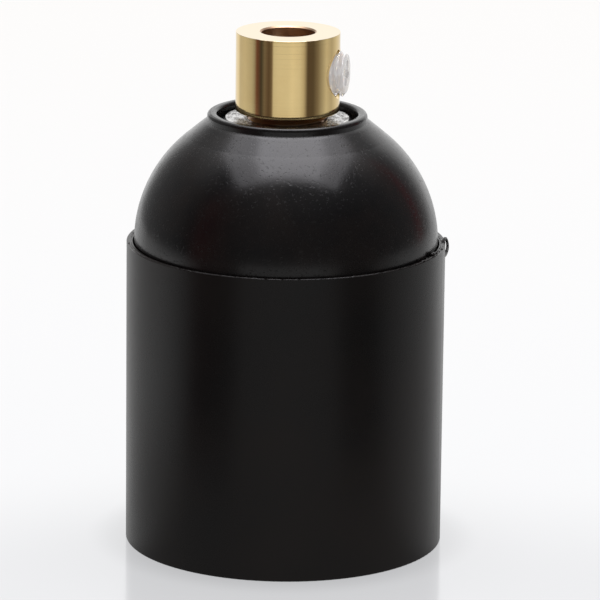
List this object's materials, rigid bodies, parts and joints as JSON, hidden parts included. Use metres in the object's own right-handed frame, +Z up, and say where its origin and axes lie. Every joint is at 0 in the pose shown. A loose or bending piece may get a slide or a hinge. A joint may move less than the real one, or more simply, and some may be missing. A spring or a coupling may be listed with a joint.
{
  "type": "lamp holder",
  "caption": "Black moulded screw-shell lamp holder: plain cylindrical skirt, domed screw-on cap, porcelain contact block and a turned brass cord grip with a clear clamp screw.",
  "frame": {"origin": "centre of the skirt's open rim, which the holder stands on", "axes": "+Z up the common axis from the lamp's mouth to the cord grip; +X along the clamp screw, pointing out of the cord grip"},
  "size_m": [0.04, 0.04, 0.0653],
  "materials": {
    "thermoset": "very dark brown-black moulded thermoset, glossy with a fine ripple",
    "brass": "bright turned brass with fine tool lines",
    "steel": "bright zinc-plated steel",
    "plated_steel": "zinc-plated steel screw",
    "spring_steel": "bright spring steel, unplated",
    "phosphor_bronze": "rolled phosphor bronze, satin",
    "clear_nylon": "clear, slightly milky nylon",
    "porcelain": null
  },
  "bodies": {
    "skirt": {"skirt": "thermoset"},
    "contact_block": {"contact_block": "porcelain", "centre_terminal": "brass", "side_terminal": "brass", "centre_fixing_screw": "plated_steel", "side_fixing_screw": "plated_steel", "centre_lock_washer": "plated_steel", "side_lock_washer": "plated_steel", "centre_contact": "phosphor_bronze", "backing_spring": "spring_steel", "centre_button": "brass", "side_contact": "phosphor_bronze"},
    "cap": {"cap": "thermoset", "nipple_bush": "steel", "nipple_washer": "steel"},
    "cord_grip": {"cord_grip": "brass"},
    "clamp_screw": {"clamp_screw": "clear_nylon"},
    "centre_terminal_screw": {"centre_terminal_screw": "plated_steel"},
    "side_terminal_screw": {"side_terminal_screw": "plated_steel"},
    "nipple_lock_screw": {"nipple_lock_screw": "plated_steel"}
  },
  "joints": [
    {"name": "block_turn", "type": "hinge", "parent": "skirt", "child": "contact_block", "pos_m": [0, 0, 0.026], "axis": [0, 0, 1], "range_deg": [0, 1080]},
    {"name": "cap_lift", "type": "slide", "parent": "contact_block", "child": "cap", "axis": [0, 0, 1], "range_m": [0, 0.0075]},
    {"name": "cord_grip_out", "type": "slide", "parent": "cap", "child": "cord_grip", "axis": [0, 0, 1], "range_m": [0, 0.009]},
    {"name": "clamp_in", "type": "slide", "parent": "cord_grip", "child": "clamp_screw", "axis": [-1, 0, 0], "range_m": [0, 0.0022]},
    {"name": "centre_terminal_clamp", "type": "slide", "parent": "contact_block", "child": "centre_terminal_screw", "axis": [-1, 0, 0], "range_m": [0, 0.00155]},
    {"name": "side_terminal_clamp", "type": "slide", "parent": "contact_block", "child": "side_terminal_screw", "axis": [1, 0, 0], "range_m": [0, 0.00155]},
    {"name": "lock_screw_out", "type": "slide", "parent": "cap", "child": "nipple_lock_screw", "axis": [0, 1, 0], "range_m": [0, 0.0015]}
  ],
  "couplings": [
    {"joint": "cap_lift", "follows": "block_turn", "m_per_rad": 0.00039789}
  ]
}
